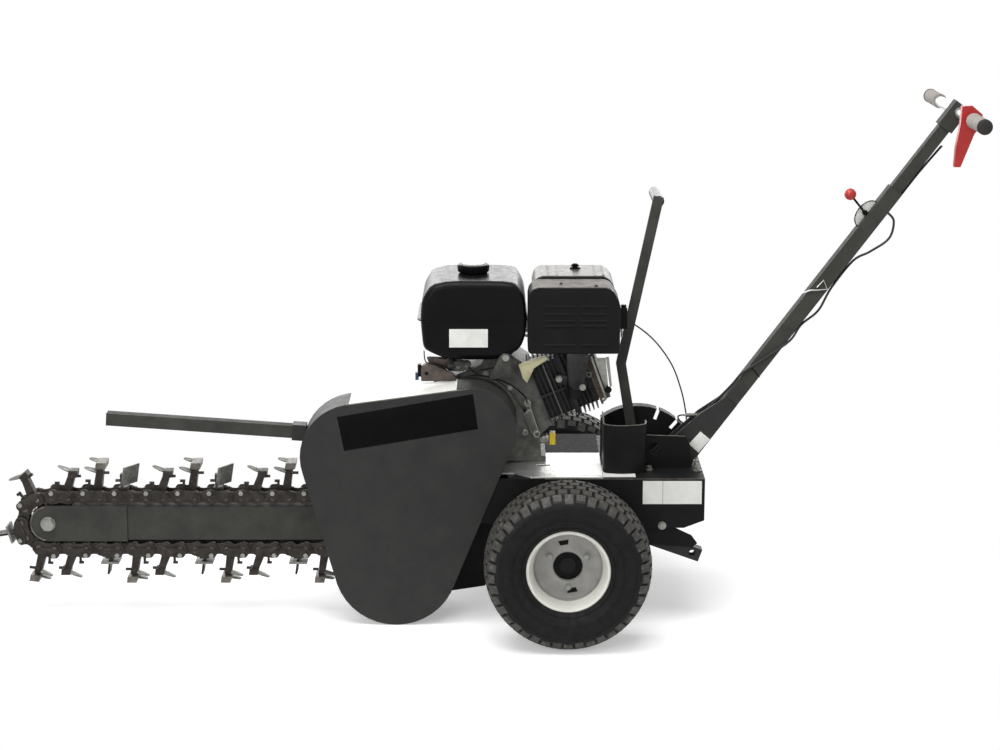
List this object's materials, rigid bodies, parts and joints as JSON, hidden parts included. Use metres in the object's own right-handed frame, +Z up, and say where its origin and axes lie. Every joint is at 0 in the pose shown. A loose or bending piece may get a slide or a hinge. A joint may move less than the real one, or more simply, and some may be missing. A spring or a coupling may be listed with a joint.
{
  "type": "walk-behind trencher",
  "caption": "Two-wheeled walk-behind trencher: a chain boom with digging teeth at the front, a small engine over a steel frame, a chain guard, a depth lever and a tall T handle.",
  "frame": {"origin": "bottom centre of the whole object's bounding box, on the ground", "axes": "+X from the boom's nose towards the handle, +Y from the chain guard's side towards the starter's side, +Z up"},
  "size_m": [2.2586, 0.831, 1.211],
  "materials": {
    "charcoal_paint": "satin",
    "black_paint": "satin",
    "zinc_plate": "plated",
    "bare_steel": "machined",
    "chain_steel": "dark, worn",
    "casting": "cast",
    "black_casting": "painted casting",
    "black_plastic": "satin",
    "tyre": "matte",
    "white_paint": "gloss",
    "grey_grip": "matte",
    "red_plastic": "gloss",
    "yellow_plastic": "satin"
  },
  "bodies": {
    "chassis": {"frame_box": "black_paint", "engine_plate": "zinc_plate", "axle": "bare_steel", "hitch_arm": "charcoal_paint", "hitch_brace": "black_paint", "guard_front_plate": "charcoal_paint", "guard_rim": "charcoal_paint", "guard_back_plate": "black_paint", "shaft_bearing": "casting", "deflector_bar": "charcoal_paint", "primary_chain": "chain_steel", "crankcase": "casting", "crankcase_cover": "casting", "cylinder": "black_casting", "rocker_cover": "black_casting", "fuel_tank": "black_plastic", "muffler": "black_paint", "muffler_guard": "black_paint", "air_cleaner_base": "black_plastic", "air_cleaner_cover": "black_plastic", "carburettor": "casting", "blower_housing": "black_plastic", "control_box": "casting", "oil_filler": "casting", "lever_shaft": "bare_steel", "quadrant_plate": "black_paint", "quadrant_shield": "black_paint", "mast_tube": "charcoal_paint", "mast_bracket": "charcoal_paint", "mast_side_plate": "black_paint", "throttle_bracket": "black_plastic", "throttle_cable": "black_plastic", "clutch_cable": "black_plastic", "lever_cable": "black_plastic"},
    "near_wheel": {"near_tyre": "tyre", "near_rim": "white_paint"},
    "far_wheel": {"far_tyre": "tyre", "far_rim": "white_paint"},
    "drive": {"drive_shaft": "bare_steel", "drive_sprocket": "chain_steel", "driven_sprocket": "chain_steel"},
    "crank": {"crankshaft": "bare_steel"},
    "boom": {"boom_bar": "charcoal_paint", "nose_plate_near": "charcoal_paint", "nose_plate_far": "charcoal_paint", "nose_bolt": "zinc_plate", "digging_chain": "chain_steel"},
    "idler": {"nose_idler": "chain_steel"},
    "depth_lever": {"lever_bar": "charcoal_paint", "lever_grip": "black_plastic"},
    "handle": {"handle_tube": "charcoal_paint", "handlebar": "zinc_plate", "grip_near": "grey_grip", "grip_far": "grey_grip"},
    "clutch": {"clutch_lever": "red_plastic"},
    "throttle": {"throttle_lever": "red_plastic"},
    "tank_cap": {"fuel_cap": "black_plastic"},
    "dipstick": {"oil_cap": "yellow_plastic"},
    "cleaner_nut": {"cleaner_knob": "black_plastic"},
    "starter": {"starter_grip": "black_plastic"}
  },
  "joints": [
    {"name": "near_wheel_spin", "type": "hinge", "parent": "chassis", "child": "near_wheel", "pos_m": [0.21401, -0.338, 0.19], "axis": [0, 1, 0], "continuous": true},
    {"name": "far_wheel_spin", "type": "hinge", "parent": "chassis", "child": "far_wheel", "pos_m": [0.21401, 0.338, 0.19], "axis": [0, 1, 0], "continuous": true},
    {"name": "drive_spin", "type": "hinge", "parent": "chassis", "child": "drive", "pos_m": [-0.16299, -0.1, 0.222], "axis": [0, 1, 0], "continuous": true},
    {"name": "crank_spin", "type": "hinge", "parent": "chassis", "child": "crank", "pos_m": [0.00601, -0.18, 0.466], "axis": [0, 1, 0], "continuous": true},
    {"name": "boom_swing", "type": "hinge", "parent": "chassis", "child": "boom", "pos_m": [-0.16299, -0.1, 0.222], "axis": [0, 1, 0], "range_deg": [-55, 0]},
    {"name": "idler_spin", "type": "hinge", "parent": "boom", "child": "idler", "pos_m": [-0.99799, -0.1, 0.222], "axis": [0, 1, 0], "continuous": true},
    {"name": "lever_swing", "type": "hinge", "parent": "chassis", "child": "depth_lever", "pos_m": [0.38841, -0.005, 0.33], "axis": [0, 1, 0], "range_deg": [0, 50]},
    {"name": "handle_slide", "type": "slide", "parent": "chassis", "child": "handle", "axis": [0.5955, 0, 0.8033], "range_m": [0, 0.12]},
    {"name": "clutch_squeeze", "type": "hinge", "parent": "handle", "child": "clutch", "pos_m": [1.10679, -0.205, 1.179], "axis": [0, 1, 0], "range_deg": [-25, 0], "stiffness_Nm_per_rad": 2},
    {"name": "throttle_turn", "type": "hinge", "parent": "chassis", "child": "throttle", "pos_m": [0.90114, -0.0543, 0.94742], "axis": [0, 1, 0], "range_deg": [-30, 30]},
    {"name": "fuel_cap_turn", "type": "hinge", "parent": "chassis", "child": "tank_cap", "pos_m": [-0.00124, 0, 0.797], "axis": [0, 0, 1], "range_deg": [0, 90]},
    {"name": "oil_cap_turn", "type": "hinge", "parent": "chassis", "child": "dipstick", "pos_m": [0.17751, -0.045, 0.41], "axis": [1, 0, 0], "range_deg": [0, 90]},
    {"name": "cleaner_knob_turn", "type": "hinge", "parent": "chassis", "child": "cleaner_nut", "pos_m": [0.23971, 0.1, 0.789], "axis": [0, 0, 1], "range_deg": [0, 180]},
    {"name": "starter_pull", "type": "slide", "parent": "chassis", "child": "starter", "axis": [0, 1, 0], "range_m": [0, 0.5], "stiffness_N_per_m": 30}
  ],
  "couplings": [
    {"joint": "crank_spin", "follows": "drive_spin", "ratio": 3.3333},
    {"joint": "idler_spin", "follows": "drive_spin", "ratio": 1},
    {"joint": "lever_swing", "follows": "boom_swing", "ratio": -0.909}
  ]
}
